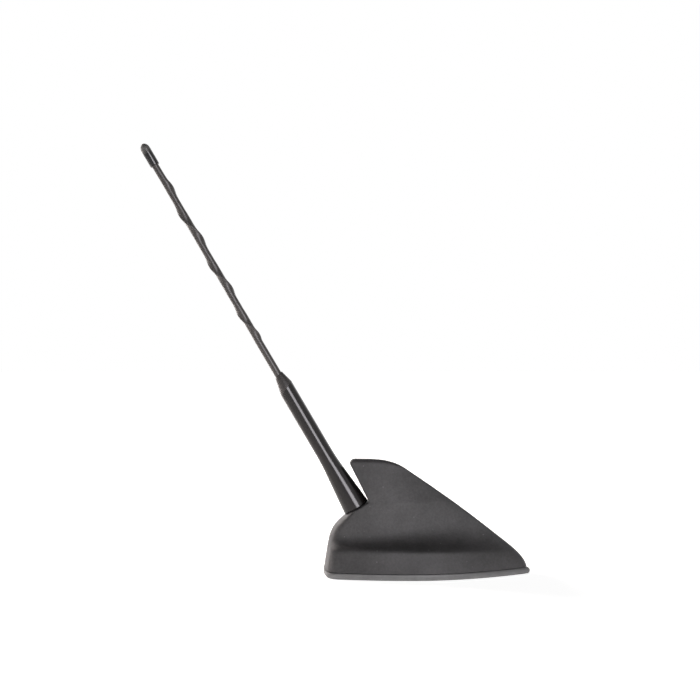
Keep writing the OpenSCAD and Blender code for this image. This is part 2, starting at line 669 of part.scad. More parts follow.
sheath_grip = 12;
core_grip = 26;
module ferrule() {
    foot_round = 0.4;
    color([0.05, 0.05, 0.06]) on_mast() difference() {
        intersection() {
            rotate_extrude($fn = 96) polygon([
                [0, rim_gap], [ferrule_base_d / 2 - foot_round, rim_gap],
                [ferrule_base_d / 2, rim_gap + foot_round],
                [lerp(ferrule_base_d, ferrule_d, 0.5) / 2, flare_l * 0.49], [ferrule_d / 2 + 0.35, flare_l * 0.90],
                [ferrule_d / 2 + 0.08, flare_l * 1.02], [ferrule_d / 2, flare_l * 1.12],
                [ferrule_d / 2, ferrule_l + ferrule_d], [0, ferrule_l + ferrule_d]]);
            translate([0, 0, taper_apex_h]) rotate([0, -taper_tilt, 0]) translate([0, 0, -taper_apex_h])
                cylinder(h = taper_apex_h, r1 = taper_apex_h * tan(taper_angle), r2 = 0, $fn = 96);
        }
        translate([0, 0, ferrule_l]) rotate([0, -ferrule_slant, 0]) translate([-ferrule_d, -ferrule_d, 0])
            cube([2 * ferrule_d, 2 * ferrule_d, 3 * ferrule_d]);
        translate([0, 0, ferrule_l - sheath_grip])
            cylinder(d = whip_foot_d + 2 * fit_gap, h = sheath_grip + ferrule_d, $fn = 48);
        translate([0, 0, ferrule_l - core_grip]) cylinder(d = core_d + 2 * fit_gap, h = core_grip, $fn = 32);
        cylinder(d = stud_head_d + 2 * fit_gap, h = ferrule_foot + stud_head_l + fit_gap, $fn = 48);
        cylinder(d = washer_d + 0.6, h = ferrule_foot, $fn = 64);
    }
}

cap_grip = 9;
sheath_foot = ferrule_l - sheath_grip + fit_gap;
sheath_top = mast_l - cap_l + cap_grip;
core_foot = ferrule_l - core_grip + fit_gap;
core_top = sheath_top + 2;
sheath_bore_d = core_d + 2 * wire_d + 0.3;

module whip_core() {
    color([0.85, 0.82, 0.70]) on_mast() translate([0, 0, core_foot]) cylinder(d = core_d, h = core_top - core_foot, $fn = 32);
}

// Wire wound on the rod inside the ridged part of the whip
module whip_winding() {
    ring_points = 5;
    steps_per_turn = 10;
    centre_r = (core_d + wire_d) / 2 + 0.09;
    bottom = mast_l - ridge_setback - ridge_l;
    rise = ridge_l / (wire_turns * steps_per_turn);
    climb = atan(ridge_l / wire_turns / (2 * PI * centre_r));
    rings = [for (k = [0 : wire_turns * steps_per_turn]) let (
        a = 360 * k / steps_per_turn,
        out = [cos(a), sin(a), 0],
        side = [sin(a) * sin(climb), -cos(a) * sin(climb), cos(climb)])
        [for (i = [0 : ring_points]) let (b = 360 * i / (ring_points + 1))
            out * (centre_r - wire_d / 2 * cos(b)) + side * (wire_d / 2 * sin(b)) + [0, 0, bottom + k * rise]]];
    color([0.72, 0.42, 0.22]) on_mast() skin(rings);
}

// Section of the ridge from its crest to its foot, as [share of its half angle, share of its height]
ridge_form = [[0, 1], [0.13, 0.84], [0.32, 0.5], [0.56, 0.22], [0.78, 0.07], [1, 0]];
ridge_top_angle = 88;
ridge_foot_angle = 56;
back_steps = 10;
function sheath_angles(half) = concat(
    [for (p = ridge_form) half * p[0]],
    [for (i = [1 : back_steps - 1]) lerp(half, 360 - half, i / back_steps)],
    [for (i = [len(ridge_form) - 1 : -1 : 1]) 360 - half * ridge_form[i][0]]);

// Turn of the ridge at a distance below its upper end; it is a left-handed spiral
ridge_top = mast_l - ridge_setback;
ridge_phase = 48;
function ridge_turn(down) = 360 * (down / ridge_pitch_top
    + (1 / ridge_pitch_foot - 1 / ridge_pitch_top) * down * down / (2 * ridge_l)) - ridge_phase;

module whip_sheath() {
    step = 2.52;
    fade = 7;
    count = ceil(ridge_l / step);
    stations = concat(
        [sheath_foot, ferrule_l],
        [for (k = [0 : count]) ridge_top - ridge_l * (1 - k / count)],
        [sheath_top]);
    rings = [for (s = stations) let (
        r = lerp(whip_foot_d, whip_top_d, max(0, (s - ferrule_l) / (mast_l - cap_l - ferrule_l))) / 2,
        down = max(0, min(ridge_l, ridge_top - s)),
        turn = ridge_turn(down),
        half = lerp(ridge_top_angle, ridge_foot_angle, down / ridge_l),
        grow = sqrt(max(0, min(1, down / fade, (ridge_l - down) / fade))),
        height = lerp(ridge_top_h, ridge_foot_h, down / ridge_l) * grow)
        [for (a = sheath_angles(half)) let (q = r - fit_gap + height * lookup(min(a, 360 - a) / half, ridge_form))
            [q * cos(turn + a), q * sin(turn + a), min(s, sheath_top)]]];
    color([0.22, 0.22, 0.24]) on_mast() difference() {
        skin(rings);
        translate([0, 0, sheath_foot - cut]) cylinder(d = sheath_bore_d, h = sheath_top - sheath_foot + 2 * cut, $fn = 32);
    }
}

module tip_cap() {
    lip = 0.35;
    dome = cap_d * 0.75;
    base = mast_l - cap_l;
    color([0.05, 0.05, 0.06]) on_mast() difference() {
        rotate_extrude($fn = 64) polygon(concat(
            [[0, base], [cap_d / 2 - lip, base], [cap_d / 2, base + lip]],
            [for (a = [0 : 12 : 84]) [cap_d / 2 * cos(a), mast_l - dome + dome * sin(a)]],
            [[0, mast_l]]));
        translate([0, 0, base - cut]) cylinder(d = whip_top_d + 2 * fit_gap, h = cap_grip + cut + fit_gap, $fn = 48);
        translate([0, 0, base - cut]) cylinder(d = core_d + 2 * fit_gap, h = core_top - base + cut + fit_gap, $fn = 32);
    }
}

fin_housing();
roof_seal();
base_plate();
fixing_bush();
cable_grommet();
housing_screws();
circuit_board();
board_screws();
shield_can();
patch_antenna();
phone_antenna();
contact_spring();
mast_socket();
mast_washer();
mast_stud();
ferrule();
whip_core();
whip_winding();
whip_sheath();
tip_cap();
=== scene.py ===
# %% [markdown]
# Shark fin aerial with a whip mast
#
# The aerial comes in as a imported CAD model. Its solids have the right sizes, and this lesson gives them
# the surfaces and the light of a real one. Every length that Blender gets is in metres. The origin is
# the mouth of the fixing thread, +X points to the nose of the fin, +Z is up, and the two sides mirror
# each other across the XZ plane.

# %% Load the CAD model
import json
import math

import bpy
from mathutils import Matrix, Vector


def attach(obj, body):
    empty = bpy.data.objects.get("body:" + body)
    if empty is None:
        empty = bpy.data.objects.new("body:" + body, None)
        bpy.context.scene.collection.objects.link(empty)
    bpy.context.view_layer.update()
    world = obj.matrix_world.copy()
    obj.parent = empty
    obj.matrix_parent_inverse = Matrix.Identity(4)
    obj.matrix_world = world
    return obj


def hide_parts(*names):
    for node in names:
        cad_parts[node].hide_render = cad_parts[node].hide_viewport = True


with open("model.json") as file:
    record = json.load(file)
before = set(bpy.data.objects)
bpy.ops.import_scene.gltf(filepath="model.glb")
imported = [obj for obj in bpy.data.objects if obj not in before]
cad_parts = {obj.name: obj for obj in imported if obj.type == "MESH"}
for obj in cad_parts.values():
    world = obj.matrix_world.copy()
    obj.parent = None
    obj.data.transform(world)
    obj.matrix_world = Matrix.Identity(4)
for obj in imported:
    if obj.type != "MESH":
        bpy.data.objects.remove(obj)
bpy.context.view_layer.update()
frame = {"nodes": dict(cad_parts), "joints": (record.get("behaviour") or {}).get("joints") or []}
nodes = frame["nodes"]


print("CAD nodes:", len(nodes))

# %% [markdown]
# The mast's own axis
#
# The mast leans back over the fin, so every piece on it is easiest to model upright, with +Z along the
# mast and the seat at zero. One matrix then carries the finished piece to its place, and the move is
# applied to the mesh, so that the object itself stays at the origin. Seat and axis come from the joint
# by which the mast unscrews. SEAT_ALONG is how far up the axis the seat lies, counted from the origin.
# A finish needs it later.

# %% The mast's place
MM = 0.001
MAST_L = 281.2 * MM
thread = next(joint for joint in frame["joints"] if joint["name"] == "mast_turn")
AXIS = thread["axis"]
SEAT = Vector(thread["pos_m"])
SEAT_ALONG = SEAT.dot(Vector(AXIS))
LEAN = math.atan2(-AXIS[0], AXIS[2])
mast_place = Matrix.Translation(SEAT) @ Matrix.Rotation(-LEAN, 4, "Y")
print("mast direction:", [round(value, 4) for value in mast_place.to_3x3() @ Vector((0, 0, 1))])

# %% [markdown]
# Small helpers
#
# Blender's operators act on whatever is selected, and loading a model leaves its parts selected. So
# each step first selects one piece only. Another helper adds a modifier and applies it at once, so that
# no piece depends on a stack. Smooth shading by angle keeps an edge crisp where two faces meet more
# sharply than the angle given.


# %% Select one piece and edit it
def only(piece):
    bpy.ops.object.select_all(action="DESELECT")
    piece.select_set(True)
    bpy.context.view_layer.objects.active = piece


def edit(piece, kind="VERT"):
    only(piece)
    bpy.ops.object.mode_set(mode="EDIT")
    bpy.ops.mesh.select_mode(type=kind)


def leave():
    bpy.ops.object.mode_set(mode="OBJECT")


# %% Add and apply a modifier
def shape_with(piece, kind, **settings):
    only(piece)
    bpy.ops.object.modifier_add(type=kind)
    modifier = piece.modifiers[-1]
    for name, value in settings.items():
        setattr(modifier, name, value)
    bpy.ops.object.modifier_apply(modifier=modifier.name)


def shade_smooth(piece, degrees):
    only(piece)
    bpy.ops.object.shade_smooth_by_angle(angle=math.radians(degrees))


def report(piece):
    piece.data.calc_loop_triangles()
    print(piece.name, "has", len(piece.data.loop_triangles), "triangles")


# %% [markdown]
# Copies of moulded forms
#
# The housing, the rubber seal and the whip have free forms that the CAD model already holds as fine
# nets of flat faces, but a real moulding is smooth. Modelling them anew would risk other sizes, so a
# copy is refined instead and the CAD node itself is left alone. The copy's points are merged, its pairs
# of triangles become four-sided faces, its sharp edges get a crease, and a subdivision surface rounds
# everything between them.

# %% Make a smooth copy of a CAD node
SAME_POINT = 3e-6
FLAT_PAIR = math.radians(25)
SQUARE_PAIR = math.radians(60)
ROUNDS = 2


def smooth_copy(node, name, sharp_degrees):
    piece = bpy.data.objects.new(name, nodes[node].data.copy())
    bpy.context.scene.collection.objects.link(piece)
    edit(piece)
    bpy.ops.mesh.customdata_custom_splitnormals_clear()
    bpy.ops.mesh.select_all(action="SELECT")
    bpy.ops.mesh.remove_doubles(threshold=SAME_POINT)
    bpy.ops.mesh.tris_convert_to_quads(face_threshold=FLAT_PAIR, shape_threshold=SQUARE_PAIR)
    bpy.ops.mesh.select_mode(type="EDGE")
    bpy.ops.mesh.select_all(action="DESELECT")
    bpy.ops.mesh.edges_select_sharp(sharpness=math.radians(sharp_degrees))
    bpy.ops.transform.edge_crease(value=1.0)
    leave()
    shape_with(piece, "SUBSURF", levels=ROUNDS, render_levels=ROUNDS)
    shade_smooth(piece, sharp_degrees)
    report(piece)
    return piece


# %% [markdown]
# Every finished piece is dressed in the same way. It gets its finish, it rides on a body of the
# mechanism, and it hides the CAD node that it replaces.


# %% Dress a piece
def dress(piece, body, finish, replaced_node):
    piece.data.materials.clear()
    piece.data.materials.append(finish)
    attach(piece, body)
    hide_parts(replaced_node)


# %% [markdown]
# Finishes
#
# Each finish starts from Principled BSDF. Its pattern reads Object coordinates, which are metres here,
# so a grain of 0.4 mm needs a noise scale of about 2500. A number that is the same all over is written
# on the shader's own socket, and only what varies is wired in. Most values of Blender's noise lie
# between 0.3 and 0.7, so that range is spread over the whole change of a colour or a roughness. A Mix
# node has sockets for every kind of value, and those for colours are found by their numbers.


# %% Start a material
NOISE_ROUGHNESS = 0.6


def new_material(name, **sockets):
    material = bpy.data.materials.new(name)
    material.use_nodes = True
    shader = material.node_tree.nodes["Principled BSDF"]
    for socket, value in sockets.items():
        shader.inputs[socket.replace("_", " ")].default_value = value
    print("finish:", name)
    return material, material.node_tree, shader


def object_place(tree):
    return tree.nodes.new("ShaderNodeTexCoord").outputs["Object"]


def add_noise(tree, scale, detail, stretch=None):
    place = object_place(tree)
    if stretch is not None:
        mapping = tree.nodes.new("ShaderNodeMapping")
        mapping.inputs["Scale"].default_value = stretch
        tree.links.new(place, mapping.inputs["Vector"])
        place = mapping.outputs["Vector"]
    noise = tree.nodes.new("ShaderNodeTexNoise")
    noise.inputs["Scale"].default_value = scale
    noise.inputs["Detail"].default_value = detail
    noise.inputs["Roughness"].default_value = NOISE_ROUGHNESS
    tree.links.new(place, noise.inputs["Vector"])
    return noise.outputs["Fac"]


# %% Reckon with values
def wire(tree, value, socket):
    if isinstance(value, bpy.types.NodeSocket):
        tree.links.new(value, socket)
    else:
        socket.default_value = value


def reckon(tree, operation, first, second):
    node = tree.nodes.new("ShaderNodeMath")
    node.operation = operation
    wire(tree, first, node.inputs[0])
    wire(tree, second, node.inputs[1])
    return node.outputs["Value"]


def larger(tree, first, second):
    return reckon(tree, "MAXIMUM", first, second)


def times(tree, first, second):
    return reckon(tree, "MULTIPLY", first, second)


def spread(tree, source, low, high, out_low, out_high):
    node = tree.nodes.new("ShaderNodeMapRange")
    limits = {"From Min": low, "From Max": high, "To Min": out_low, "To Max": out_high}
    for socket, value in limits.items():
        node.inputs[socket].default_value = value
    tree.links.new(source, node.inputs["Value"])
    return node.outputs["Result"]


# %% Turn a noise into shades, roughness or relief
NOISE_RANGE = (0.3, 0.7)
MIX_SHARE, MIX_FIRST, MIX_SECOND = 0, 6, 7
MIX_COLOUR = 2


def shades(tree, noise, colour, dark, pale, between=NOISE_RANGE):
    node = tree.nodes.new("ShaderNodeValToRGB")
    for step, position, tone in zip(node.color_ramp.elements, between, (dark, pale)):
        step.position = position
        step.color = (*(tone * part for part in colour), 1.0)
    tree.links.new(noise, node.inputs["Fac"])
    return node.outputs["Color"]


def vary(tree, noise, low, high):
    return spread(tree, noise, *NOISE_RANGE, low, high)


def mixed(tree, amount, first, second, blend="MIX"):
    node = tree.nodes.new("ShaderNodeMix")
    node.data_type = "RGBA"
    node.blend_type = blend
    wire(tree, amount, node.inputs[MIX_SHARE])
    wire(tree, first, node.inputs[MIX_FIRST])
    wire(tree, second, node.inputs[MIX_SECOND])
    return node.outputs[MIX_COLOUR]


def bump(tree, height, distance, under=None):
    node = tree.nodes.new("ShaderNodeBump")
    node.inputs["Distance"].default_value = distance
    node.inputs["Strength"].default_value = 1.0
    tree.links.new(height, node.inputs["Height"])
    if under is not None:
        tree.links.new(under, node.inputs["Normal"])
    return node.outputs["Normal"]


# %% [markdown]
# Moulded plastic takes the eroded grain of its mould. Four noises make it up: a wide cloud and smaller
# patches change the tone a little, the grain darkens it between its peaks and gives the fine relief,
# and a coarser grain lies under that. The housing, which is out in the weather, also has a few pale
# specks of dust. They sit in some cells of a Voronoi pattern only, chosen by the cell's random colour.

# %% Moulded plastic with an eroded grain
WHITE = (1.0, 1.0, 1.0)
CLOUD_SCALE = 60
PATCH_SCALE = 620
GRAIN_RANGE = (0.35, 0.65)
GRAIN_DEPTH = 0.01 * MM
COARSE_GRAIN = 4
COARSE_DEPTH = 2.5
PATTERN_SHARE = 0.8
PLASTIC_SWING = 0.06
SPECK_SCALE = 240
SPECK_EDGE = (0.05, 0.12)
SPECK_CHOICE = (0.72, 0.98)
SPECK_COLOUR = (0.34, 0.34, 0.34, 1.0)


def add_specks(tree, base, strength):
    spots = tree.nodes.new("ShaderNodeTexVoronoi")
    spots.inputs["Scale"].default_value = SPECK_SCALE
    tree.links.new(object_place(tree), spots.inputs["Vector"])
    cell = tree.nodes.new("ShaderNodeSeparateColor")
    tree.links.new(spots.outputs["Color"], cell.inputs["Color"])
    near = spread(tree, spots.outputs["Distance"], *SPECK_EDGE, strength, 0.0)
    few = spread(tree, cell.outputs["Red"], *SPECK_CHOICE, 0.0, 1.0)
    return mixed(tree, times(tree, near, few), base, SPECK_COLOUR)


def grained_plastic(name, colour, roughness, grain=2600, depth=GRAIN_DEPTH, mottle=0.16, specks=0.0,
                    mirror=0.5, grit=0.2):
    material, tree, shader = new_material(name, Specular_IOR_Level=mirror)
    fine = add_noise(tree, grain, detail=2)
    base = shades(tree, add_noise(tree, CLOUD_SCALE, detail=4), colour, 1 - mottle, 1 + mottle)
    grains = shades(tree, fine, WHITE, 1 - grit, 1.0, GRAIN_RANGE)
    patches = shades(tree, add_noise(tree, PATCH_SCALE, detail=2), WHITE, 1 - mottle, 1.0, GRAIN_RANGE)
    for pattern in (grains, patches):
        base = mixed(tree, PATTERN_SHARE, base, pattern, "MULTIPLY")
    if specks:
        base = add_specks(tree, base, specks)
    coarse = bump(tree, add_noise(tree, grain / COARSE_GRAIN, detail=3), depth * COARSE_DEPTH)
    tree.links.new(base, shader.inputs["Base Color"])
    polish = vary(tree, fine, roughness - PLASTIC_SWING, roughness + PLASTIC_SWING)
    tree.links.new(polish, shader.inputs["Roughness"])
    tree.links.new(bump(tree, fine, depth, under=coarse), shader.inputs["Normal"])
    return material


# %% [markdown]
# Rubber is matt and slightly cloudy. Metal is cloudy too, and its fine grain changes its polish.
# Stretching this noise along one direction turns the grain into long marks, as drawing or rolling
# leaves them.


# %% Rubber and metal
RUBBER_CLOUD = 180
RUBBER_GRAIN = 1500
RUBBER_DEPTH = 0.04 * MM
RUBBER_TONES = (0.82, 1.15)
RUBBER_SWING = 0.07
METAL_CLOUD = 120
METAL_TONES = (0.86, 1.0)
METAL_SWING = 0.08


def rubber(name, colour, roughness):
    material, tree, shader = new_material(name, Specular_IOR_Level=0.4)
    cloud = add_noise(tree, RUBBER_CLOUD, detail=5)
    polish = vary(tree, cloud, roughness - RUBBER_SWING, roughness + RUBBER_SWING)
    tree.links.new(shades(tree, cloud, colour, *RUBBER_TONES), shader.inputs["Base Color"])
    tree.links.new(polish, shader.inputs["Roughness"])
    grain = add_noise(tree, RUBBER_GRAIN, detail=3)
    tree.links.new(bump(tree, grain, RUBBER_DEPTH), shader.inputs["Normal"])
    return material


def metal(name, colour, roughness, grain=900, stretch=None, depth=GRAIN_DEPTH):
    material, tree, shader = new_material(name, Metallic=1.0)
    lines = add_noise(tree, grain, detail=3, stretch=stretch)
    cloud = add_noise(tree, METAL_CLOUD, detail=4)
    polish = vary(tree, lines, roughness - METAL_SWING, roughness + METAL_SWING)
    tree.links.new(shades(tree, cloud, colour, *METAL_TONES), shader.inputs["Base Color"])
    tree.links.new(polish, shader.inputs["Roughness"])
    tree.links.new(bump(tree, lines, depth), shader.inputs["Normal"])
    return material


# %% [markdown]
# The ferrule and the cap are polished black plastic, but not all over. The ferrule's slanted taper
# keeps the dull surface of its cut, so the shader asks how far a face looks along the mast: the
# straight side looks across it, the taper a little upward. The cap's dome is rougher and has a pale
# highlight painted into its colour, so there the shader asks how far up the mast a point lies.

# %% Polished black plastic with a dull part
GLOSS_CLOUD = 90
GLOSS_HAZE = 700
GLOSS_WAVES = 160
GLOSS_TONES = (0.8, 1.2)
GLOSS_SMOOTHER = 0.03
GLOSS_ROUGHER = 0.04
DULL_ROUGHNESS = 0.45


def gloss_black(name, colour, roughness, dull_and_highlight_colour, asked_node, asked_value, dull_from, dull_to):
    material, tree, shader = new_material(name, Specular_IOR_Level=0.3)
    along = tree.nodes.new("ShaderNodeVectorMath")
    along.operation = "DOT_PRODUCT"
    along.inputs[1].default_value = AXIS
    tree.links.new(tree.nodes.new(asked_node).outputs[asked_value], along.inputs[0])
    dull = spread(tree, along.outputs["Value"], dull_from, dull_to, 0.0, 1.0)
    base = shades(tree, add_noise(tree, GLOSS_CLOUD, detail=4), colour, *GLOSS_TONES)
    haze = add_noise(tree, GLOSS_HAZE, detail=4)
    polish = vary(tree, haze, roughness - GLOSS_SMOOTHER, roughness + GLOSS_ROUGHER)
    # On the cap this mix paints a pale highlight onto the dome; on the ferrule it gives the taper its
    # duller colour.
    tree.links.new(mixed(tree, dull, base, (*dull_and_highlight_colour, 1.0)), shader.inputs["Base Color"])
    tree.links.new(larger(tree, polish, times(tree, dull, DULL_ROUGHNESS)), shader.inputs["Roughness"])
    waves = add_noise(tree, GLOSS_WAVES, detail=2)
    tree.links.new(bump(tree, waves, GRAIN_DEPTH), shader.inputs["Normal"])
    return material


# %% [markdown]
# Now every finish is made once. The housing is a charcoal plastic that hardly reflects, the whip is
# darker and smoother, the ferrule and the cap are nearly black, and the seal is the palest of the
# visible pieces.

# %% Make the finishes that show
housing_plastic = grained_plastic("housing_plastic", (0.078, 0.075, 0.077), 0.52, depth=3 * GRAIN_DEPTH,
                                  mottle=0.2, specks=0.5, mirror=0.16)
whip_plastic = grained_plastic("whip_plastic", (0.058, 0.052, 0.050), 0.38, grain=3000, depth=0,
                               mottle=0.06, mirror=0.3, grit=0.05)
seal_rubber = rubber("seal_rubber", (0.130, 0.127, 0.128), 0.5)
TAPER_LOOK = (0.14, 0.19)
TIP_ALONG = SEAT_ALONG + MAST_L
# The pale colour that the cap gets near its tip is a painted highlight on the dome.
PAINTED_HIGHLIGHT_PLACE = (TIP_ALONG - 8 * MM, TIP_ALONG - 3.5 * MM)
ferrule_black = gloss_black("ferrule_black", (0.012, 0.010, 0.010), 0.17, (0.050, 0.044, 0.043),
                            "ShaderNodeNewGeometry", "Normal", *TAPER_LOOK)
cap_black = gloss_black("cap_black", (0.009, 0.009, 0.010), 0.16, (0.17, 0.164, 0.160),
                        "ShaderNodeTexCoord", "Object", *PAINTED_HIGHLIGHT_PLACE)

# %% [markdown]
# Some of the other pieces show from below or when the mast is off, the rest only in an opened aerial.
# The metals differ mainly in colour: warm for brass, bronze and copper, grey for steel and the cast
# plate. The cast one has the coarsest grain, and the brass and the can have long marks. The boards are
# lacquered, and the antenna's ceramic is matt.

# %% Make the finishes of the hidden pieces
grommet_rubber = rubber("grommet_rubber", (0.03, 0.03, 0.03), 0.6)
washer_rubber = rubber("washer_rubber", (0.012, 0.012, 0.012), 0.65)
cast_plate = metal("cast_plate", (0.56, 0.56, 0.55), 0.48, grain=500, depth=5 * GRAIN_DEPTH)
bush_brass = metal("bush_brass", (0.74, 0.55, 0.26), 0.28, grain=2500, stretch=(1, 1, 0.08))
screw_steel = metal("screw_steel", (0.66, 0.67, 0.69), 0.32)
can_steel = metal("can_steel", (0.74, 0.74, 0.72), 0.35, stretch=(1, 0.06, 1))
stud_steel = metal("stud_steel", (0.66, 0.66, 0.67), 0.26, grain=2500)
spring_bronze = metal("spring_bronze", (0.78, 0.54, 0.28), 0.3)
winding_copper = metal("winding_copper", (0.76, 0.36, 0.18), 0.3)
board_laminate = grained_plastic("board_laminate", (0.02, 0.15, 0.06), 0.35, grain=1800)
antenna_laminate = grained_plastic("antenna_laminate", (0.02, 0.07, 0.20), 0.35, grain=1800)
patch_ceramic = grained_plastic("patch_ceramic", (0.62, 0.56, 0.44), 0.5)
glass_fibre = grained_plastic("glass_fibre", (0.66, 0.62, 0.46), 0.4)

# %% [markdown]
# The fin housing
#
# The real housing is one hollow moulding in black plastic with a fine eroded grain, a matt surface that
# shows no sharp reflection. Its smooth copy keeps the form and gets rounded edges.

# %% Make the housing
MOULDING_SHARP = 38
housing = smooth_copy("fin_housing", "housing_shell", MOULDING_SHARP)
dress(housing, "base", housing_plastic, "fin_housing")

# %% [markdown]
# The roof seal
#
# A softer, paler rubber closes the gap to the roof. It swells a little past the housing and has a lip
# at its top.

# %% Make the seal
seal = smooth_copy("roof_seal", "seal_lip", MOULDING_SHARP)
dress(seal, "base", seal_rubber, "roof_seal")

# %% [markdown]
# The ferrule
#
# The foot of the mast is turned from black plastic and polished: a flare that narrows to a straight
# neck, with a tapered end cut off at a slant. As on a lathe, a disc is extruded ring by ring along the
# profile. A spun profile would do as well, but then its ends would have to be closed by hand.


# %% Turn a profile
def turned(name, profile, sides):
    radius, height = profile[0]
    bpy.ops.object.select_all(action="DESELECT")
    bpy.ops.mesh.primitive_circle_add(vertices=sides, radius=radius, location=(0, 0, height),
                                      fill_type="NGON")
    piece = bpy.context.active_object
    piece.name = piece.data.name = name
    bpy.ops.object.transform_apply(location=True, rotation=True, scale=True)
    edit(piece, "FACE")
    bpy.ops.mesh.select_all(action="SELECT")
    for next_radius, next_height in profile[1:]:
        bpy.ops.mesh.extrude_region_move(TRANSFORM_OT_translate={"value": (0, 0, next_height - height)})
        grow = next_radius / radius
        bpy.ops.transform.resize(value=(grow, grow, 1), center_override=(0, 0, next_height))
        radius, height = next_radius, next_height
    bpy.ops.mesh.select_all(action="SELECT")
    bpy.ops.mesh.normals_make_consistent(inside=False)
    leave()
    return piece


def cut_with(piece, tool, operation):
    shape_with(piece, "BOOLEAN", operation=operation, solver="EXACT", object=tool)
    bpy.data.objects.remove(tool)


def put_on_mast(piece, smooth_degrees):
    shade_smooth(piece, smooth_degrees)
    piece.matrix_world = mast_place @ piece.matrix_world
    bpy.ops.object.transform_apply(location=True, rotation=True, scale=True)
    report(piece)


# %% Turn the ferrule
FERRULE_SIDES = 128
flare = [(8.3, 0.45), (8.74, 0.55), (8.88, 0.85), (8.0, 10.7), (7.2, 19.0), (6.48, 26.7), (5.93, 32.7),
         (5.71, 35.7), (5.60, 38.7), (5.53, 42.7), (5.5, 48.7), (5.5, 111.0)]
flare_m = [(radius * MM, height * MM) for radius, height in flare]
ferrule = turned("ferrule_body", flare_m, FERRULE_SIDES)
report(ferrule)

# %% [markdown]
# The taper is what remains inside a long cone that stands on the seat and is tilted about its tip, so
# that the taper reaches further down at the rear. A slanted plane then takes the end off.

# %% Cut the taper and the slanted end
FERRULE_L = 102.4 * MM
TAPER_APEX = 115.3 * MM
TAPER_ANGLE = math.radians(13.35)
TAPER_TILT = math.radians(1.35)
END_SLANT = math.radians(19)
TAPER_FOOT_R = TAPER_APEX * math.tan(TAPER_ANGLE)
bpy.ops.mesh.primitive_cone_add(vertices=FERRULE_SIDES, radius1=TAPER_FOOT_R, radius2=0, depth=TAPER_APEX,
                                location=(0, 0, TAPER_APEX / 2))
taper = bpy.context.active_object
bpy.ops.object.transform_apply(location=True, rotation=True, scale=True)
apex = Matrix.Translation((0, 0, TAPER_APEX))
taper.data.transform(apex @ Matrix.Rotation(-TAPER_TILT, 4, "Y") @ apex.inverted())
cut_with(ferrule, taper, "INTERSECT")
edit(ferrule)
bpy.ops.mesh.select_all(action="SELECT")
bpy.ops.mesh.bisect(plane_co=(0, 0, FERRULE_L), plane_no=(-math.sin(END_SLANT), 0, math.cos(END_SLANT)),
                    use_fill=True, clear_outer=True)
leave()
report(ferrule)

# %% [markdown]
# Two cylinders open the ends: a mouth for the whip at the top, and at the foot the recess that holds
# the washer. A narrow bevel takes the sharpness off every edge, as polishing does.

# %% Open both ends and round the edges
WHIP_FOOT_R = 2.55 * MM
MOUTH_GAP = 0.12 * MM
MOUTH_L = 16 * MM
RECESS_R = 7.2 * MM
RECESS_TOP = 1.4 * MM
EDGE_ROUND = 0.18 * MM
EDGE_SHARP = math.radians(12)


def bore(piece, radius, length, height, sides):
    bpy.ops.object.select_all(action="DESELECT")
    bpy.ops.mesh.primitive_cylinder_add(vertices=sides, radius=radius, depth=length,
                                        location=(0, 0, height))
    tool = bpy.context.active_object
    bpy.ops.object.transform_apply(location=True, rotation=True, scale=True)
    cut_with(piece, tool, "DIFFERENCE")


bore(ferrule, WHIP_FOOT_R + MOUTH_GAP, MOUTH_L, FERRULE_L, sides=64)
bore(ferrule, RECESS_R, 2 * RECESS_TOP, 0, sides=96)
shape_with(ferrule, "BEVEL", width=EDGE_ROUND, segments=3, limit_method="ANGLE", angle_limit=EDGE_SHARP)
put_on_mast(ferrule, smooth_degrees=30)
dress(ferrule, "mast", ferrule_black, "ferrule")

# %% [markdown]
# The stud
#
# The stud shows when the mast is unscrewed. A bump could hint at its thread, but here it is real. It
# starts as a plane merged to one point, which is drawn out to the outline of one tooth: up a flank,
# along the crest, down the other flank and along the root. The points' heights are shares of the pitch.
# The Screw modifier turns this line round the axis and lifts it by one pitch a turn. The spiral reaches
# past both ends, where it is open, so that two planes can cut it flat and fill it.

# %% Wind the thread
PITCH = 0.8 * MM
THREAD_R = 2.42 * MM
ROOT_R = 1.98 * MM
THREAD_TOP = 0.61 * MM
THREAD_END = -8.5 * MM
THREAD_START = THREAD_END - 1.52 * PITCH
THREAD_TURNS = 15
THREAD_STEPS = 36
CREST_FROM = 19 / 48
CREST_TO = 23 / 48
ROOT_FROM = 42 / 48
tooth = [(ROOT_R, 0), (THREAD_R, CREST_FROM), (THREAD_R, CREST_TO), (ROOT_R, ROOT_FROM), (ROOT_R, 1)]
spot, *others = [Vector((radius, 0, THREAD_START + share * PITCH)) for radius, share in tooth]
bpy.ops.object.select_all(action="DESELECT")
bpy.ops.mesh.primitive_plane_add(size=MM, location=(0, 0, 0))
stud = bpy.context.active_object
stud.name = stud.data.name = "stud_thread"
edit(stud)
bpy.ops.mesh.select_all(action="SELECT")
bpy.ops.mesh.merge(type="CENTER")
bpy.ops.transform.translate(value=spot)
for point in others:
    bpy.ops.mesh.extrude_region_move(TRANSFORM_OT_translate={"value": point - spot})
    spot = point
leave()
shape_with(stud, "SCREW", axis="Z", angle=2 * math.pi, screw_offset=PITCH, iterations=THREAD_TURNS,
           steps=THREAD_STEPS, render_steps=THREAD_STEPS)
report(stud)

# %% [markdown]
# The turns only lie side by side until their points are merged. The steps are fine, so the cutting
# planes need a much smaller tolerance than Blender's own of 0.1 mm.

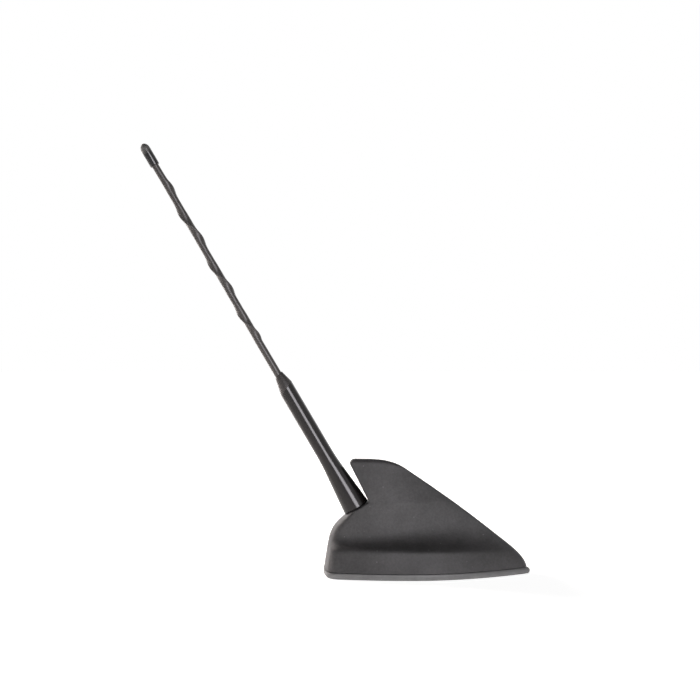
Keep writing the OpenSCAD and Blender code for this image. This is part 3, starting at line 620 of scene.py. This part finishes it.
# %% Close the thread's ends
SAME_THREAD_POINT = 2e-6
FINE_CUT = 1e-7
edit(stud)
bpy.ops.mesh.select_all(action="SELECT")
bpy.ops.mesh.remove_doubles(threshold=SAME_THREAD_POINT)
bpy.ops.mesh.normals_make_consistent(inside=False)
for height, side in ((THREAD_END, -1), (THREAD_TOP, 1)):
    bpy.ops.mesh.select_all(action="SELECT")
    bpy.ops.mesh.bisect(plane_co=(0, 0, height), plane_no=(0, 0, side), use_fill=True, clear_outer=True,
                        threshold=FINE_CUT)
bpy.ops.mesh.select_all(action="SELECT")
bpy.ops.mesh.normals_make_consistent(inside=False)
leave()
report(stud)

# %% [markdown]
# What remains inside a turned blank has a chamfered tip, which helps a real stud into its thread. A
# neck and a head are then joined on. The head is held in the ferrule.

# %% Trim the tip and add the head
STUD_SIDES = 48
BLANK_R = 2.6 * MM
NECK_R = 2.2 * MM
HEAD_R = 3.2 * MM
HEAD_L = 11 * MM
TIP_R = 1.2 * MM
TIP_BELOW = THREAD_END - 0.5 * MM
CHAMFER_TOP = THREAD_END + 0.9 * MM
BLANK_TOP = 2 * MM
NECK_FOOT = 0.2 * MM
SHOULDER = 0.02 * MM
blank = turned("stud_blank", [(TIP_R, TIP_BELOW), (BLANK_R, CHAMFER_TOP), (BLANK_R, BLANK_TOP)],
               STUD_SIDES)
cut_with(stud, blank, "INTERSECT")
head = turned("stud_head", [(NECK_R, NECK_FOOT), (NECK_R, RECESS_TOP), (HEAD_R, RECESS_TOP + SHOULDER),
                            (HEAD_R, RECESS_TOP + HEAD_L)], STUD_SIDES)
cut_with(stud, head, "UNION")
put_on_mast(stud, smooth_degrees=25)
dress(stud, "mast", stud_steel, "mast_stud")

# %% [markdown]
# The tip cap
#
# A glossy cap closes the whip. Its rim is rounded, its side is straight, and it ends in a dome with
# half an ellipse as its outline. It is turned like the ferrule, with a point on the dome every 7.5
# degrees.

# %% Make the cap
CAP_L = 16.7 * MM
CAP_R = 3.2 * MM
DOME_L = 4.8 * MM
DOME_STEPS = 12
cap_foot = MAST_L - CAP_L
dome_foot = MAST_L - DOME_L
rim = [(0.75, 0.4), (0.7, 0.05), (0.35, 0), (0.08, 0.12), (0, 0.5)]
profile = [(CAP_R - inset * MM, cap_foot + rise * MM) for inset, rise in rim]
profile.append((CAP_R, dome_foot))
for step in range(1, DOME_STEPS):
    turn = math.radians(90 * step / DOME_STEPS)
    profile.append((CAP_R * math.cos(turn), dome_foot + DOME_L * math.sin(turn)))
cap = turned("tip_cap_body", profile, sides=64)
put_on_mast(cap, smooth_degrees=40)
dress(cap, "mast", cap_black, "tip_cap")

# %% [markdown]
# The whip
#
# The whip is satin plastic with one raised ridge that winds up it and quietens the wind. The copy of its
# CAD node is smoothed as the housing is. Here only edges sharper than 60 degrees stay sharp, so that
# the ridge gets a round crest.

# %% Make the whip
WHIP_SHARP = 60
whip = smooth_copy("whip_sheath", "whip_skin", WHIP_SHARP)
dress(whip, "mast", whip_plastic, "whip_sheath")

# %% [markdown]
# The hidden pieces
#
# The plate, the board, the antennas and the screws have the right form already. Each keeps its CAD node
# and gets its own finish.

# %% Give the hidden pieces their finishes
hidden_finish = {
    "base_plate": cast_plate, "fixing_bush": bush_brass, "cable_grommet": grommet_rubber,
    "housing_screws": screw_steel, "circuit_board": board_laminate, "board_screws": screw_steel,
    "shield_can": can_steel, "patch_antenna": patch_ceramic, "phone_antenna": antenna_laminate,
    "contact_spring": spring_bronze, "mast_socket": bush_brass, "mast_washer": washer_rubber,
    "whip_core": glass_fibre, "whip_winding": winding_copper,
}
for node, finish in hidden_finish.items():
    mesh = nodes[node].data
    if not mesh.materials:
        mesh.materials.append(finish)
    for index in range(len(mesh.materials)):
        mesh.materials[index] = finish
print("finished hidden pieces:", len(hidden_finish))

# %% [markdown]
# The studio
#
# The object stands on a plain white floor before a white background. The floor's paint carries the
# light and the shadow. On top of it a glow shows to the camera and in reflections only, so it whitens
# the picture without lighting the object. It is a little weaker near the object, where the lamps light
# the paint.

# %% Build the floor
FLOOR_PAINT = 0.9
FLOOR_GLOW = 0.9
NEAR_AND_FAR = (0.15, 0.8)
FLOOR_SIDE = 14
bpy.ops.object.select_all(action="DESELECT")
bpy.ops.mesh.primitive_plane_add(size=FLOOR_SIDE, location=(0, 0, 0))
floor = bpy.context.active_object
floor.name = "studio_floor"
material = bpy.data.materials.new("studio_floor")
material.use_nodes = True
tree = material.node_tree
tree.nodes.clear()
paint = tree.nodes.new("ShaderNodeBsdfDiffuse")
paint.inputs["Color"].default_value = (FLOOR_PAINT, FLOOR_PAINT, FLOOR_PAINT, 1)
distance = tree.nodes.new("ShaderNodeVectorMath")
distance.operation = "LENGTH"
tree.links.new(object_place(tree), distance.inputs[0])
fade = spread(tree, distance.outputs["Value"], *NEAR_AND_FAR, FLOOR_GLOW, 1.0)
path = tree.nodes.new("ShaderNodeLightPath").outputs
mirrored = larger(tree, path["Is Glossy Ray"], path["Is Transmission Ray"])
glow = tree.nodes.new("ShaderNodeEmission")
seen = larger(tree, path["Is Camera Ray"], mirrored)
tree.links.new(times(tree, seen, fade), glow.inputs["Strength"])
both = tree.nodes.new("ShaderNodeAddShader")
tree.links.new(paint.outputs["BSDF"], both.inputs[0])
tree.links.new(glow.outputs["Emission"], both.inputs[1])
out = tree.nodes.new("ShaderNodeOutputMaterial")
tree.links.new(both.outputs["Shader"], out.inputs["Surface"])
floor.data.materials.append(material)
print("floor:", [round(value, 1) for value in floor.dimensions])

# %% [markdown]
# The room itself gives only a little even light. The camera sees it white. In reflections it is white
# near the horizon and to the right, darker overhead, and brighter behind the object, because a dark
# glossy mast is drawn mostly by what it mirrors. The world's direction comes in as Generated
# coordinates, each between -1 and 1.

# %% Light the room
SKY_LIGHT = 0.15
SKY_MIRROR = 1.0
SKY_TOP = 0.35
SKY_BACK = 2.6
SKY_SIDE = 1.0
TOP_RANGE = (0.16, 0.42)
BACK_RANGE = (0.3, 0.9)
SIDE_RANGE = (0.3, 0.55)
world = bpy.data.worlds.new("studio")
bpy.context.scene.world = world
world.use_nodes = True
tree = world.node_tree
tree.nodes.clear()
path = tree.nodes.new("ShaderNodeLightPath").outputs
mirrored = larger(tree, path["Is Glossy Ray"], path["Is Transmission Ray"])
way = tree.nodes.new("ShaderNodeSeparateXYZ")
tree.links.new(tree.nodes.new("ShaderNodeTexCoord").outputs["Generated"], way.inputs["Vector"])
upward = spread(tree, way.outputs["Z"], *TOP_RANGE, 1.0, SKY_TOP)
behind = spread(tree, way.outputs["Y"], *BACK_RANGE, 1.0, SKY_BACK)
beside = spread(tree, way.outputs["X"], *SIDE_RANGE, 0.0, SKY_SIDE)
pattern = times(tree, larger(tree, upward, times(tree, beside, mirrored)), behind)
level = spread(tree, mirrored, 0, 1, SKY_LIGHT, SKY_MIRROR)
sky = tree.nodes.new("ShaderNodeBackground")
sky.inputs["Color"].default_value = (1, 1, 1, 1)
tree.links.new(larger(tree, path["Is Camera Ray"], times(tree, pattern, level)), sky.inputs["Strength"])
out = tree.nodes.new("ShaderNodeOutputWorld")
tree.links.new(sky.outputs["Background"], out.inputs["Surface"])
print("world:", world.name)

# %% [markdown]
# Most light comes up from the floor, from a wide flat lamp that lies on it, and a weaker lamp behind
# the camera fills in from the front. Light from below leaves the shelf under the concave flank dark. A
# lamp behind the left end draws the pale edge of the bulb. Two more lamps light nothing and only show
# as reflections: the strip lamp gives the crisp line on the ferrule and the cap, and the top lamp a
# pale spot on the cap's dome.


# %% Place the lamps
def lamp(name, place, aim, size, power, mirrored=True, lights=True, tint=(1, 1, 1)):
    data = bpy.data.lights.new(name, "AREA")
    data.shape = "RECTANGLE"
    data.size, data.size_y = size
    data.energy = power
    data.color = tint
    light = bpy.data.objects.new(name, data)
    light.location = place
    light.visible_glossy = mirrored
    light.visible_diffuse = lights
    light.visible_camera = False
    light.rotation_euler = (Vector(aim) - Vector(place)).to_track_quat("-Z", "Y").to_euler()
    bpy.context.scene.collection.objects.link(light)
    print(name, "has", power, "W")


lamp("front_lamp", place=(-0.1, -1.9, 0.08), aim=(-0.03, 0, 0.08), size=(1.6, 0.6), power=5, mirrored=False)
lamp("floor_lamp", place=(0, 0, 0.5 * MM), aim=(0, 0, 1), size=(1.2, 1.2), power=7, mirrored=False)
lamp("strip_lamp", place=(0.50, -1.9, 0.66), aim=(-0.07, 0, 0.12), size=(0.9, 1.2), power=50, lights=False,
     tint=(0.98, 0.95, 1))
lamp("rear_lamp", place=(-0.8, 0.56, 0.36), aim=(-0.06, 0, 0.04), size=(0.4, 0.4), power=16, mirrored=False,
     tint=(1, 0.9, 0.84))
lamp("top_lamp", place=(-0.66, 0.61, 0.75), aim=(-0.15, 0, 0.2), size=(0.6, 0.6), power=8, lights=False,
     tint=(1, 0.95, 0.92))

# %% [markdown]
# The camera
#
# It looks level along +Y from the aerial's right side, with the nose to the right. It stands about 0.8
# metres away and half as high as the tip of the mast, so it sees the housing a little from above.

# %% Place the camera
EYE = Vector((-51.0, -780.0, 148.4)) * MM
SENSOR_MM = 36
LENS_MM = 60.2
data = bpy.data.cameras.new("camera")
data.sensor_width = SENSOR_MM
data.lens = LENS_MM
camera = bpy.data.objects.new("camera", data)
camera.location = EYE
camera.rotation_euler = (math.radians(90), 0, 0)
bpy.context.scene.collection.objects.link(camera)
bpy.context.scene.camera = camera
bpy.context.scene.view_settings.view_transform = "Standard"
print("camera at", [round(value, 3) for value in camera.location])
